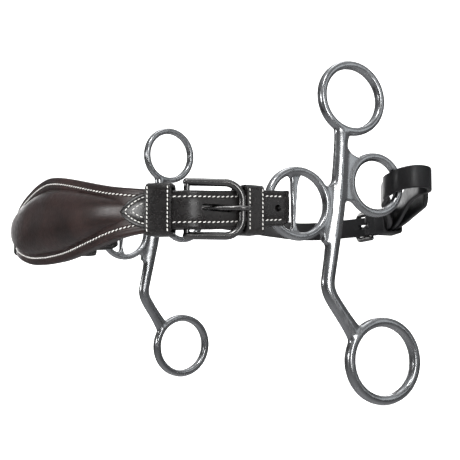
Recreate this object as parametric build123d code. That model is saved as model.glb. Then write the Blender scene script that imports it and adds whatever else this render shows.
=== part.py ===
from build123d import *
import os
import math

os.makedirs("parts", exist_ok=True)

# ---------------------------------------------------------------- driving dimensions (mm)
# +Z up, +Y towards the nosepiece, -X is the horse's left. Origin midway between the front rings.
CHEEK_SPAN = 221.6          # between the two cheek planes, at the front rings
TOE = -3.65                 # cheeks turned a little outward at the rear, degrees
FLARE = 2.26                # and a little outward at the bottom, degrees

TOP_C, TOP_R = (-34.0, 57.6), 17.9        # headpiece ring: centre (y, z), mid radius
REIN_C, REIN_R = (-48.2, -80.0), 20.1     # rein ring
FRONT_R = 16.95                            # divided front ring, centred on the hinge line
REAR_C, REAR_R = (-46.9, 12.1), 15.0      # rear ring for the curb strap
TOP_W, TOP_T = 4.2, 5.6                   # ring sections: radial width, lateral thickness
REIN_W, REIN_T = 4.9, 6.0
FRONT_W, FRONT_T = 4.0, 5.2
REAR_W, REAR_T = 4.3, 5.2
LAND = 2.2                                 # flat inner land of the headpiece and rein rings
BAR_T = 3.4                                # divider bar thickness across the ring
PLATE_T = 4.6                              # web between stem and rings

STRAP_T = 2.6                              # billet leather
PATH_A, PATH_YB, PATH_YF, PATH_N = 116.4, 55.0, 100.0, 2.3   # plan curve of the noseband
OUTER_D0, OUTER_D1 = 2.9, 5.2             # nosepiece outer leather, depth below the plan curve
CORE_D0, CORE_D1 = 5.35, 7.95             # filler layer
INNER_D0, INNER_D1 = 8.1, 10.7            # inner strap layer
LINING_D0, LINING_D1 = 8.1, 10.1          # nosepiece lining
BULGE = 3.6                                # how far the raised centre stands out

BAR_S, BAR_D, BAR_R = 59.2, 5.35, 1.5      # buckle bar: distance along strap, depth, radius
FRAME_R = 1.9                              # buckle frame rod radius
TONGUE_R = 1.15

CURB_T, CURB_H = 2.4, 12.0                 # curb strap thickness and width


# ---------------------------------------------------------------- plan curve of the noseband
def plan_points(m=1600):
    pts = []
    y = 5.0
    while y < PATH_YB:
        pts.append((-PATH_A, y))
        y += 0.25
    for i in range(m + 1):
        th = math.pi / 2 * i / m
        c, s = math.cos(th), math.sin(th)
        c = max(c, 0.0)
        pts.append((-PATH_A * c ** (2 / PATH_N), PATH_YB + (PATH_YF - PATH_YB) * s ** (2 / PATH_N)))
    return pts


PLAN = plan_points()
SLEN = [0.0]
for _a, _b in zip(PLAN, PLAN[1:]):
    SLEN.append(SLEN[-1] + math.hypot(_b[0] - _a[0], _b[1] - _a[1]))
S_APEX = SLEN[-1]


def at(s):
    """Point and outward normal of the plan curve at distance s from y = 5 (left half)."""
    if s <= 0:
        return (-PATH_A, 5.0 + s), (-1.0, 0.0)
    s = min(s, S_APEX)
    lo, hi = 0, len(SLEN) - 1
    while hi - lo > 1:
        mid = (lo + hi) // 2
        if SLEN[mid] <= s:
            lo = mid
        else:
            hi = mid
    f = (s - SLEN[lo]) / (SLEN[hi] - SLEN[lo])
    p = (PLAN[lo][0] + f * (PLAN[hi][0] - PLAN[lo][0]), PLAN[lo][1] + f * (PLAN[hi][1] - PLAN[lo][1]))
    i0, i1 = max(lo - 12, 0), min(hi + 12, len(PLAN) - 1)
    if s > S_APEX - 0.5:
        return (0.0, PATH_YF), (0.0, 1.0)
    tx, ty = PLAN[i1][0] - PLAN[i0][0], PLAN[i1][1] - PLAN[i0][1]
    L = math.hypot(tx, ty)
    return p, (-ty / L, tx / L)


def interp(table, s):
    if s <= table[0][0]:
        return table[0][1]
    for (a, va), (b, vb) in zip(table, table[1:]):
        if s <= b:
            return va + (vb - va) * (s - a) / (b - a)
    return table[-1][1]


# top and bottom edges of the nosepiece, and of its raised centre
NOSE_TOP = [(60, 2.4), (72, 3.0), (80, 3.9), (92, 5.1), (110, 7.6), (128, 11.0), (140, 13.4), (151, 15.4), (164.5, 17.7), (180, 19.3), (186, 19.5)]
NOSE_BOT = [(60, -15.6), (72, -16.0), (80, -16.5), (92, -17.3), (102, -18.8), (110, -20.1), (127, -23.5), (149, -26.9), (163, -28.2), (186, -28.8)]
PAD_TOP = [(104, 1.5), (110, 2.4), (128, 4.8), (150, 7.8), (180, 10.8), (186, 11.0)]
PAD_BOT = [(104, -11.5), (110, -12.5), (127.5, -17.0), (150, -20.6), (180, -21.2), (186, -21.2)]
RISE = [(98, 0.0), (104, 0.25), (112, 1.2), (128, 2.5), (150, 3.3), (168, 3.6), (186, BULGE)]
STRAP_TOP = [(-6, 5.2), (11, 5.3), (19, 4.9), (45, 3.1), (65, 2.5), (110, 2.5)]
STRAP_BOT = [(-6, -11.8), (11, -12.3), (19, -13.0), (45, -15.0), (65, -15.6), (110, -15.6)]


def ring_wire(s, dz):
    """Closed wire in the plane across the noseband at s: (depth, z) pairs."""
    (x, y), (nx, ny) = at(s)
    return Wire.make_polygon([Vector(x - nx * d, y - ny * d, z) for d, z in dz], close=True)


def mirror_x(solid):
    return mirror(solid, about=Plane.YZ)


def whole(half):
    """Left half built to the symmetry plane, joined with its mirror image."""
    return half + mirror_x(half)


def loft_of(wires, ruled=False):
    return Solid.make_loft(wires, ruled)


def chamfered(d0, d1, z0, z1, c=0.5):
    return [(d0 + c, z0), (d1 - c, z0), (d1, z0 + c), (d1, z1 - c), (d1 - c, z1), (d0 + c, z1), (d0, z1 - c), (d0, z0 + c)]


# ---------------------------------------------------------------- nosepiece layers
NOSE_ST = [76.2, 80, 86, 92, 98, 104, 110, 117, 124, 131, 138, 145, 152, 159, 166, 173, 179, S_APEX]


def outer_section(s):
    zt, zb = interp(NOSE_TOP, s), interp(NOSE_BOT, s)
    pt, pb, h = interp(PAD_TOP, s), interp(PAD_BOT, s), interp(RISE, s)
    if s < 104:
        pt, pb = zt - 3.9, zb + 3.9
    k0, k1 = pb + 3.2, pt - 3.2          # crown of the raised centre
    d0, d1 = OUTER_D0, OUTER_D1
    c = 0.5
    outer = [(d0 + c, zb), (d0, zb + c), (d0, pb), (d0 - 0.75 * h, pb + 1.6), (d0 - h, k0), (d0 - h, k1), (d0 - 0.75 * h, pt - 1.6), (d0, pt), (d0, zt - c), (d0 + c, zt)]
    inner = [(d1, zt), (d1, pt - 0.8), (d1 - 0.75 * h, pt - 2.4), (d1 - h, k1 - 0.6), (d1 - h, k0 + 0.6), (d1 - 0.75 * h, pb + 2.4), (d1, pb + 0.8), (d1, zb)]
    return outer + inner


nose_outer = whole(loft_of([ring_wire(s, outer_section(s)) for s in NOSE_ST], True))
export_step(nose_outer, "parts/nosepiece_outer.step")


def core_section(s):
    zt, zb = interp(NOSE_TOP, s) - 1.2, interp(NOSE_BOT, s) + 1.2
    pt, pb, h = interp(PAD_TOP, s), interp(PAD_BOT, s), interp(RISE, s)
    if s < 104:
        pt, pb = zt - 3.0, zb + 3.0
    d0, d1 = CORE_D0, CORE_D1
    k0, k1 = pb + 4.0, pt - 4.0
    return [(d1, zb), (d0, zb), (d0, pb + 1.1), (d0 - 0.75 * h, pb + 2.8), (d0 - h, k0 + 0.2), (d0 - h, k1 - 0.2), (d0 - 0.75 * h, pt - 2.8), (d0, pt - 1.1), (d0, zt), (d1, zt)]


nose_core = whole(loft_of([ring_wire(s, core_section(s)) for s in NOSE_ST], True))
export_step(nose_core, "parts/nosepiece_filler.step")

LIN_ST = [104.3, 110, 117, 124, 131, 138, 145, 152, 159, 166, 173, 179, S_APEX]
nose_lining = whole(loft_of([ring_wire(s, chamfered(LINING_D0, LINING_D1, interp(NOSE_BOT, s), interp(NOSE_TOP, s), 0.4)) for s in LIN_ST], True))
export_step(nose_lining, "parts/nosepiece_lining.step")


# ---------------------------------------------------------------- billet: inner layer, turn round the ring, outer layer to the tip
TIP_S, SHOULDER_S = 95.8, 79.0
TURN_R = 4.9                 # mid radius of the turn round the ring rim
TURN_Y = 5.9 + TURN_R + STRAP_T / 2   # plan centre of the turn
RING_IN_D = STRAP_T / 2 + 2 * TURN_R  # depth of the inner layer's middle at the ring


def sec(px, py, nx, ny, t, z0, z1, c=0.45):
    """Section across a strap: middle point, unit normal, thickness, edges."""
    h = t / 2
    pts = [(-h + c, z0), (h - c, z0), (h, z0 + c), (h, z1 - c), (h - c, z1), (-h + c, z1), (-h, z1 - c), (-h, z0 + c)]
    return Wire.make_polygon([Vector(px + nx * a, py + ny * a, z) for a, z in pts], close=True)


def billet_sections():
    wires = []
    # tip, narrowing to a blunt point
    zc = -6.5
    for s, k in ((TIP_S, 0.16), (TIP_S - 0.9, 0.36), (TIP_S - 3.0, 0.60), (TIP_S - 7.0, 0.85), (TIP_S - 12.0, 0.98)):
        (x, y), (nx, ny) = at(s)
        hw = 0.5 * (interp(STRAP_TOP, s) - interp(STRAP_BOT, s)) * k
        wires.append(sec(x - nx * STRAP_T / 2, y - ny * STRAP_T / 2, nx, ny, STRAP_T, zc - hw, zc + hw))
    for s in (SHOULDER_S, 72, 65, 58, 50, 42, 34, 26, 20, 15, 11, TURN_Y - 5.0 + 0.01):
        (x, y), (nx, ny) = at(s)
        wires.append(sec(x - nx * STRAP_T / 2, y - ny * STRAP_T / 2, nx, ny, STRAP_T, interp(STRAP_BOT, s), interp(STRAP_TOP, s)))
    # turn: half circle opening forward, strap pinched a little where it passes the ring
    cx = -PATH_A + STRAP_T / 2 + TURN_R
    for a in (22, 45, 68, 90, 112, 135, 158, 180):
        r = math.radians(a)
        nx, ny = -math.cos(r), -math.sin(r)
        k = math.sin(r)
        z0, z1 = -12.0 + 2.6 * k, 5.2 + 0.9 * k
        wires.append(sec(cx + nx * TURN_R, TURN_Y + ny * TURN_R, nx, ny, STRAP_T, z0, z1))
    # inner layer going forward
    for s in (11, 15, 20, 26, 32, 40, 48, 58, 66, 74, 82, 90, 97, 104):
        (x, y), (nx, ny) = at(s)
        d = interp([(0, RING_IN_D), (20, RING_IN_D), (46, 9.4), (110, 9.4)], s)
        # normals point into the body on this side
        z0 = interp([(0, -12.0), (110, -15.6)], s) if s < 60 else interp(STRAP_BOT, s)
        z1 = interp(STRAP_TOP, s)
        wires.append(sec(x - nx * d, y - ny * d, -nx, -ny, STRAP_T, z0, z1))
    return wires


billet = loft_of(billet_sections(), True)
# long slot for the tongue and two round adjusting holes
HOLE_Z = -5.2
slot = Pos(-PATH_A, 44.3 + 5.0, HOLE_Z) * Rot(0, 90, 0) * extrude(SlotOverall(17.4, 3.6, rotation=90), amount=STRAP_T + 1.2, both=True)
hole_a = Pos(-PATH_A, 10.5 + 5.0, -3.6) * Rot(0, 90, 0) * Cylinder(1.7, 2 * STRAP_T + 1.0)
# tongue slot belongs to the outer layer only
slot_box = Pos(-PATH_A + 0.2, 44.3 + 5.0, HOLE_Z) * Box(2 * STRAP_T + 0.8, 60, 60)
billet = billet - (slot & slot_box) - hole_a
export_step(billet, "parts/left_billet.step")
export_step(mirror_x(billet), "parts/right_billet.step")

# ---------------------------------------------------------------- buckle chape round the bar
(_px, _py), (_nx, _ny) = at(BAR_S)
bx, by = _px - _nx * BAR_D, _py - _ny * BAR_D      # bar centre in plan
CH_R = BAR_R + 0.95
chape = Pos(bx, by, -6.5) * Cylinder(CH_R, 17.6)
chape += loft_of([ring_wire(s, [(2.9, -15.3), (7.8, -15.3), (7.8, 2.3), (2.9, 2.3)]) for s in (BAR_S, 62, 64.5, 67, 70, 73, 76.0)], True)
chape -= Pos(bx, by, -6.5) * Cylinder(BAR_R + 0.06, 40)
chape -= Pos(bx, by, HOLE_Z) * Rot(0, 0, math.degrees(math.atan2(_ny, _nx))) * Pos(0, 1.5, 0) * Box(2 * CH_R + 4.0, 9.6, 4.0)
export_step(chape, "parts/left_buckle_chape.step")
export_step(mirror_x(chape), "parts/right_buckle_chape.step")

# ---------------------------------------------------------------- buckle frame, D shaped, tilted so that its bow lies over the strap
BOW_S, BOW_D = 32.0, -2.35
wx, wy = -PATH_A + BOW_D, BOW_S + 5.0               # bow centre in plan
FR_L = math.hypot(wx - bx, wy - by)
ux, uy = (wx - bx) / FR_L, (wy - by) / FR_L         # from the bar towards the bow
FR_HALF = 12.8                # half of the frame height, rod centre to rod centre
FR_ZC = -5.6
CR = 8.5                      # corner radius of the bow
# local frame: u from bar towards bow, z up
fr_plane = Plane(origin=(bx, by, FR_ZC), x_dir=(ux, uy, 0), z_dir=(uy, -ux, 0))
with BuildLine() as fl:
    Line((0, FR_HALF), (FR_L - CR, FR_HALF))
    ThreePointArc((FR_L - CR, FR_HALF), (FR_L - CR + CR * math.sin(math.radians(45)), FR_HALF - CR + CR * math.cos(math.radians(45))), (FR_L, FR_HALF - CR))
    Line((FR_L, FR_HALF - CR), (FR_L, -FR_HALF + CR))
    ThreePointArc((FR_L, -FR_HALF + CR), (FR_L - CR + CR * math.sin(math.radians(45)), -FR_HALF + CR - CR * math.cos(math.radians(45))), (FR_L - CR, -FR_HALF))
    Line((FR_L - CR, -FR_HALF), (0, -FR_HALF))
frame_path = fl.line
prof = Plane(origin=(0, FR_HALF, 0), z_dir=(1, 0, 0)) * Circle(FRAME_R)
frame_local = sweep(prof, path=frame_path)
frame_local += Pos(0, FR_HALF, 0) * Sphere(FRAME_R)
frame_local += Pos(0, -FR_HALF, 0) * Sphere(FRAME_R)
frame_local += Rot(90, 0, 0) * Cylinder(BAR_R, 2 * FR_HALF)
frame_solid = fr_plane.location * frame_local
export_step(frame_solid, "parts/left_buckle_frame.step")
export_step(mirror_x(frame_solid), "parts/right_buckle_frame.step")

# ---------------------------------------------------------------- buckle tongue
# path in (u, n): u runs from the bar towards the bow, n is outward from the frame's plane
tz = HOLE_Z
ox, oy = uy, -ux                                     # outward direction of the frame plane
if ox > 0:
    ox, oy = -ox, -oy
tongue_pts = [(2.2, 0.3), (6.5, -0.4), (11.0, -0.3), (15.5, 1.0), (20.0, 2.6), (24.5, 3.5), (28.0, 3.3), (30.0, 2.6)]
with BuildLine() as tl:
    Spline(*[(bx + ux * u + ox * n, by + uy * u + oy * n, tz) for u, n in tongue_pts])
tw = tl.line
tprof = Plane(origin=tw @ 0, z_dir=tw % 0) * Circle(TONGUE_R)
tongue = sweep(tprof, path=tw)
tongue += Pos(*(tw @ 1)) * Sphere(TONGUE_R)
eye = Pos(bx, by, tz) * (Cylinder(BAR_R + 1.0, 3.0) - Cylinder(BAR_R + 0.07, 5.0))
tongue = (tongue + eye) - Pos(bx, by, tz) * Cylinder(BAR_R + 0.07, 5.0)
export_step(tongue, "parts/left_buckle_tongue.step")
export_step(mirror_x(tongue), "parts/right_buckle_tongue.step")


# ---------------------------------------------------------------- keepers
def keeper(s0, s1, d_in, n, z_in0, z_in1, d_out0=-0.3, wall=1.7):
    """Closed loop of leather round the strap layers between s0 and s1."""
    st = [s0 + (s1 - s0) * i / n for i in range(n + 1)]
    outer = loft_of([ring_wire(s, chamfered(d_out0 - wall, d_in + wall, z_in0 - wall, z_in1 + wall, 0.9)) for s in st], True)
    inner = loft_of([ring_wire(s, [(d_out0, z_in0), (d_in, z_in0), (d_in, z_in1), (d_out0, z_in1)]) for s in [s0 - 1.0] + st[1:-1] + [s1 + 1.0]], True)
    return outer - inner


front_keeper = keeper(67.0, 79.6, 11.0, 4, -17.0, 4.6)
export_step(front_keeper, "parts/left_front_keeper.step")
export_step(mirror_x(front_keeper), "parts/right_front_keeper.step")
rear_keeper = keeper(19.2, 29.2, 12.9, 1, -15.3, 5.4)
export_step(rear_keeper, "parts/left_rear_keeper.step")
export_step(mirror_x(rear_keeper), "parts/right_rear_keeper.step")


# ---------------------------------------------------------------- cheek casting
def rounded_ring(c, r, w, t, land=None):
    """Ring about the local z axis through c, section w radially and t across, with rounded corners."""
    rad = min(w, t) / 2 - 0.15 if land is None else min((t - land) / 2, w / 2 - 0.15)
    p = Plane.XZ * Pos(r, 0) * RectangleRounded(w, t, rad)
    return Pos(c[0], c[1], 0) * revolve(p, axis=Axis.Z)


def oval_sections(stations):
    """stations: (y, z, direction of travel y, z, half width, half thickness)."""
    wires = []
    for y, z, ty, tz_, w, h in stations:
        L = math.hypot(ty, tz_)
        ny, nz = -tz_ / L, ty / L
        pts = [(-1.0, -0.30), (-1.0, 0.30), (-0.66, 0.76), (0.0, 1.0), (0.66, 0.76), (1.0, 0.30), (1.0, -0.30), (0.66, -0.76), (0.0, -1.0), (-0.66, -0.76)]
        wires.append(Wire.make_polygon([Vector(y + ny * a * w, z + nz * a * w, b * h) for a, b in pts], close=True))
    return wires


STEM = [(-28.3, 41.2, 2.0, -10, 5.4, 2.7), (-27.2, 36.5, 1.4, -10, 4.2, 3.1), (-26.4, 29.0, 0.8, -10, 3.9, 3.3), (-25.6, 20.0, 0.9, -10, 4.1, 3.4),
        (-24.3, 8.0, 1.1, -10, 4.4, 3.5), (-22.6, -4.0, 1.2, -10, 4.5, 3.5), (-20.6, -15.0, 1.5, -10, 4.3, 3.4), (-18.6, -27.0, 1.4, -10, 3.9, 3.3),
        (-16.9, -36.0, 1.2, -10, 3.8, 3.2), (-16.3, -40.8, -0.6, -10, 3.8, 3.2), (-17.4, -45.5, -4.3, -10, 3.8, 3.2), (-20.6, -50.8, -6.6, -10, 3.8, 3.2),
        (-25.2, -57.2, -7.2, -10, 3.9, 3.1), (-29.6, -63.3, -7.0, -10, 4.4, 2.9), (-32.6, -67.8, -6.6, -10, 5.2, 2.6)]


def refine(rows, k=3):
    """Catmull-Rom refinement of the stem stations."""
    out = []
    n = len(rows)
    for i in range(n - 1):
        p0, p1, p2, p3 = rows[max(i - 1, 0)], rows[i], rows[i + 1], rows[min(i + 2, n - 1)]
        for j in range(k):
            t = j / k
            out.append(tuple(0.5 * (2 * b + (c - a) * t + (2 * a - 5 * b + 4 * c - d) * t * t + (3 * b - a - 3 * c + d) * t ** 3) for a, b, c, d in zip(p0, p1, p2, p3)))
    out.append(rows[-1])
    return out


def unit_dirs(rows):
    return [(y, z, ty / math.hypot(ty, tz_), tz_ / math.hypot(ty, tz_), w, h) for y, z, ty, tz_, w, h in rows]


cheek = loft_of(oval_sections(refine(unit_dirs(STEM))), True)


def web(points, t):
    return extrude(make_face(Polyline(*points, close=True)), amount=t / 2, both=True)


# keep the stem out of the ring holes before the rings are joined on
cheek -= Pos(*TOP_C, 0) * Cylinder(TOP_R - 0.4, 30)
cheek -= Pos(*REIN_C, 0) * Cylinder(REIN_R - 0.4, 30)
cheek -= Cylinder(FRONT_R - 0.6, 30)
cheek -= Pos(*REAR_C, 0) * Cylinder(REAR_R - 0.6, 30)
cheek += rounded_ring(TOP_C, TOP_R, TOP_W, TOP_T, LAND)
cheek += rounded_ring(REIN_C, REIN_R, REIN_W, REIN_T, LAND)
front_ring = rounded_ring((0, 0), FRONT_R, FRONT_W, FRONT_T)
rear_ring = rounded_ring(REAR_C, REAR_R, REAR_W, REAR_T)
webs = web([(-22.0, 12.6), (-17.6, 9.8), (-15.2, 9.0), (-15.2, -9.0), (-13.6, -13.2), (-13.9, -19.0), (-20.0, -22.0), (-24.0, -16.0)], PLATE_T)
webs += web([(-24.0, 26.5), (-30.6, 30.0), (-32.4, 27.6), (-37.0, 25.6), (-38.6, 21.0), (-34.4, 12.1), (-37.6, 3.6), (-37.6, 0.2), (-32.5, 2.6), (-27.2, 2.4), (-22.0, -6.0)], PLATE_T)
webs -= Cylinder(FRONT_R - FRONT_W / 2 + 0.6, 30)
webs -= Pos(*REAR_C, 0) * Cylinder(REAR_R - REAR_W / 2 + 0.6, 30)
cheek += front_ring
cheek += rear_ring
cheek += webs
# divider bar of the front ring: front edge straight, thicker towards the ends
bar = web([(3.9, 12.0), (4.4, 14.6), (4.9, 16.4), (-2.4, 16.6), (-1.2, 13.6), (0.1, 9.5), (1.3, -0.8), (1.6, -6.0), (1.9, -10.0), (0.6, -14.0), (-1.6, -16.6), (4.9, -16.4), (4.4, -14.6), (3.9, -12.0)], BAR_T)
cheek += bar
cheek_local = cheek

# local (y, z, lateral) -> row frame: local x = +Y, local y = +Z, local z = +X
to_row = Location(Plane(origin=(0, 0, 0), x_dir=(0, 1, 0), z_dir=(1, 0, 0)))
left_cheek = Pos(-CHEEK_SPAN / 2, 0, 0) * (Rot(0, 0, TOE) * (Rot(0, FLARE, 0) * (to_row * cheek_local)))
export_step(left_cheek, "parts/left_cheek.step")
export_step(mirror_x(left_cheek), "parts/right_cheek.step")

# ---------------------------------------------------------------- curb strap
LOOP_C, LOOP_R = (-114.0, -68.3), 12.0      # plan centre and mid radius of the loop round the rear ring
CB = (-36.0, -104.0, -1.2)                   # curb buckle bar: plan centre and mid height
CB_R, CF_R, CF_HALF = 1.4, 1.6, 7.9         # bar radius, frame rod radius, half height of the frame
CW = (-13.0, -110.6)                         # curb buckle bow, plan


def smooth(ctrl, step=3.0):
    """Catmull-Rom curve through (x, y, z) points, sampled about every step mm, with plan normals."""
    out = []
    n = len(ctrl)
    for i in range(n - 1):
        p0, p1, p2, p3 = ctrl[max(i - 1, 0)], ctrl[i], ctrl[i + 1], ctrl[min(i + 2, n - 1)]
        k = max(1, round(math.dist(p1[:2], p2[:2]) / step))
        for j in range(k):
            t = j / k
            out.append(tuple(0.5 * (2 * b + (c - a) * t + (2 * a - 5 * b + 4 * c - d) * t * t + (3 * b - a - 3 * c + d) * t ** 3) for a, b, c, d in zip(p0, p1, p2, p3)))
    out.append(ctrl[-1])
    res = []
    for i, p in enumerate(out):
        q0, q1 = out[max(i - 1, 0)], out[min(i + 1, len(out) - 1)]
        tx, ty = q1[0] - q0[0], q1[1] - q0[1]
        L = math.hypot(tx, ty)
        res.append((p[0], p[1], p[2], -ty / L, tx / L))
    return res


def band(ctrl, step=3.0, taper=None):
    wires = []
    rows = smooth(ctrl, step)
    for i, (x, y, z, nx, ny) in enumerate(rows):
        h = CURB_H
        if taper:
            h = CURB_H * taper(i, len(rows))
        wires.append(sec(x, y, nx, ny, CURB_T, z - h / 2, z + h / 2, 0.4))
    return loft_of(wires, True)


def arc_pts(sx, degs, zs):
    return [(sx * (-LOOP_C[0] - LOOP_R * math.cos(math.radians(a))), LOOP_C[1] + LOOP_R * math.sin(math.radians(a)), z) for a, z in zip(degs, zs)]


RING_DEG = [-75, -110, -150, 180, 150, 120, 90, 60, 35]
RING_Z = [14.8, 15.5, 16.3, 16.7, 16.3, 15.0, 13.0, 12.0, 11.2]
FOLD = CB_R + 0.1 + CURB_T / 2
fold = [(CB[0] + FOLD * math.cos(math.radians(a)), CB[1] + FOLD * math.sin(math.radians(a)), CB[2]) for a in (90, 60, 30, 0, -30, -60, -90)]
near_ctrl = [(-50.2, -102.0, 0.1), (-46.0, -102.0, -0.4), (-40.0, -101.5, -0.9)] + fold
near_ctrl += [(-46.0, -106.2, -0.4), (-56.0, -105.0, 1.0), (-66.0, -101.4, 4.0), (-80.0, -94.6, 9.0), (-94.0, -87.4, 13.2)]
near_ctrl += arc_pts(-1, RING_DEG, RING_Z)
near_ctrl += [(-91.0, -70.0, 9.6), (-79.0, -82.6, 6.6), (-66.5, -94.6, 3.4), (-57.0, -100.6, 1.1), (-51.2, -101.8, 0.2)]
near_loop = band(near_ctrl, 2.6)
near_loop -= Pos(CB[0] + 1.6, CB[1], CB[2]) * Box(8.0, 9.0, 3.6)
export_step(near_loop, "parts/curb_near_loop.step")

main_ctrl = [(-103.0, -91.0, 10.4), (-99.5, -92.9, 10.0), (-93.0, -96.0, 9.0), (-80.0, -101.0, 6.6), (-67.0, -105.4, 3.6), (-52.0, -108.9, 0.4), (-44.0, -109.5, -0.7), (-36.0, -109.4, -1.2), (-24.0, -108.7, -1.3), (-12.0, -107.2, -1.3),
             (4.0, -106.0, -1.3), (24.0, -104.6, -1.0), (44.0, -101.0, 0.2), (60.0, -95.0, 2.6), (75.0, -84.6, 5.6), (91.0, -70.0, 9.6)]
main_ctrl += [(-x, y, z) for x, y, z in reversed(arc_pts(-1, RING_DEG, RING_Z))]
main_ctrl += [(96.0, -86.6, 12.6), (81.0, -93.8, 8.0), (66.0, -98.4, 4.0), (56.0, -101.2, 2.0), (48.0, -103.3, 0.8)]


def tip_taper(i, n):
    return {0: 0.42, 1: 0.80, 2: 0.96}.get(i, 1.0)


curb = band(main_ctrl, 2.6, tip_taper)
fdx, fdy = CW[0] - CB[0], CW[1] - CB[1]
CF_L = math.hypot(fdx, fdy)
fux, fuy = fdx / CF_L, fdy / CF_L
fox, foy = fuy, -fux                     # out of the frame plane, away from the strap
if foy > 0:
    fox, foy = -fox, -foy
curb -= Pos(-25.0, -108.6, CB[2]) * Rot(90, 0, 0) * extrude(SlotOverall(13.0, 3.0), amount=3.0, both=True)
export_step(curb, "parts/curb_strap.step")

CFC = 5.5
with BuildLine() as cl:
    Line((0, CF_HALF), (CF_L - CFC, CF_HALF))
    ThreePointArc((CF_L - CFC, CF_HALF), (CF_L - CFC + CFC * math.sin(math.radians(45)), CF_HALF - CFC + CFC * math.cos(math.radians(45))), (CF_L, CF_HALF - CFC))
    Line((CF_L, CF_HALF - CFC), (CF_L, -CF_HALF + CFC))
    ThreePointArc((CF_L, -CF_HALF + CFC), (CF_L - CFC + CFC * math.sin(math.radians(45)), -CF_HALF + CFC - CFC * math.cos(math.radians(45))), (CF_L - CFC, -CF_HALF))
    Line((CF_L - CFC, -CF_HALF), (0, -CF_HALF))
cprof = Plane(origin=(0, CF_HALF, 0), z_dir=(1, 0, 0)) * Circle(CF_R)
cframe = sweep(cprof, path=cl.line)
cframe += Pos(0, CF_HALF, 0) * Sphere(CF_R)
cframe += Pos(0, -CF_HALF, 0) * Sphere(CF_R)
cframe += Rot(90, 0, 0) * Cylinder(CB_R, 2 * CF_HALF)
cf_plane = Plane(origin=CB, x_dir=(fux, fuy, 0), z_dir=(fuy, -fux, 0))
cframe = cf_plane.location * cframe
export_step(cframe, "parts/curb_buckle_frame.step")

ct_pts = [(2.1, 0.2), (6.0, 0.0), (10.0, 0.6), (14.0, 1.9), (18.5, 2.8), (CF_L, 2.85), (CF_L + 1.9, 2.3)]
with BuildLine() as ctl:
    Spline(*[(CB[0] + fux * u + fox * n, CB[1] + fuy * u + foy * n, CB[2]) for u, n in ct_pts])
cw = ctl.line
ctongue = sweep(Plane(origin=cw @ 0, z_dir=cw % 0) * Circle(1.0), path=cw)
ctongue += Pos(*(cw @ 1)) * Sphere(1.0)
ctongue += Pos(*CB) * Cylinder(CB_R + 0.95, 2.8)
ctongue -= Pos(*CB) * Cylinder(CB_R + 0.07, 5.0)
export_step(ctongue, "parts/curb_buckle_tongue.step")

# keeper round both legs of the near loop and the free end of the strap
CKX, CK0, CK1 = -51.0, -111.0, -99.6
ck_out = Box(9.0, (CK1 - CK0) + 2 * 1.5, 13.2 + 2 * 1.5)
ck_out = fillet(ck_out.edges().filter_by(Axis.X), 1.6)
ck_in = Box(12.0, CK1 - CK0, 13.2)
curb_keeper = Pos(CKX, (CK0 + CK1) / 2, 0.15) * Rot(0, 8.0, 0) * (ck_out - ck_in)
export_step(curb_keeper, "parts/curb_keeper.step")
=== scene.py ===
import bpy
import math
import random
from mathutils import Vector, Matrix


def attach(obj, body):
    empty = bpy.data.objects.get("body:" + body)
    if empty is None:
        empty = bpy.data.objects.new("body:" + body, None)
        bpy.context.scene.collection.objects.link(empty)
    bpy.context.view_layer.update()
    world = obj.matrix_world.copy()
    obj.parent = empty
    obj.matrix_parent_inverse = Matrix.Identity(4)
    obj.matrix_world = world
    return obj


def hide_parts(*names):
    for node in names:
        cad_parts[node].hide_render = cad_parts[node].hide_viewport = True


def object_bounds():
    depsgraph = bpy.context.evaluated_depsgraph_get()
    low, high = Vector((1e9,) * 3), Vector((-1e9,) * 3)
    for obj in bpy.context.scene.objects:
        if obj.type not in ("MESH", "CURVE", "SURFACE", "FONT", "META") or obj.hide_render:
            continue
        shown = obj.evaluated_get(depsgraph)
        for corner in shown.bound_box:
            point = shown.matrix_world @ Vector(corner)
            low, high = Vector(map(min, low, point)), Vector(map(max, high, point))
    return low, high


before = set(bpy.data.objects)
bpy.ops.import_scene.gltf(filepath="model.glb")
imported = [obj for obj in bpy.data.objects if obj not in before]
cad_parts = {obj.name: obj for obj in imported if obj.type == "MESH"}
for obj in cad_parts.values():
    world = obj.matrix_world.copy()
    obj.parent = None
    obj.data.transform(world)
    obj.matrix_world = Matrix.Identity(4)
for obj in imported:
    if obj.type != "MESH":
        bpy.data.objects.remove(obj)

cad_lo, cad_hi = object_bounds()
MM = 0.001
random.seed(7)

# ------------------------------------------------------------------ plan curve of the noseband (mm), as in the frame
PATH_A, PATH_YB, PATH_YF, PATH_N = 116.4, 55.0, 100.0, 2.3
PLAN = []
_y = 5.0
while _y < PATH_YB:
    PLAN.append((-PATH_A, _y))
    _y += 0.25
for _i in range(1601):
    _th = math.pi / 2 * _i / 1600
    _c, _s = max(math.cos(_th), 0.0), math.sin(_th)
    PLAN.append((-PATH_A * _c ** (2 / PATH_N), PATH_YB + (PATH_YF - PATH_YB) * _s ** (2 / PATH_N)))
SLEN = [0.0]
for _a, _b in zip(PLAN, PLAN[1:]):
    SLEN.append(SLEN[-1] + math.hypot(_b[0] - _a[0], _b[1] - _a[1]))
S_APEX = SLEN[-1]


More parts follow.
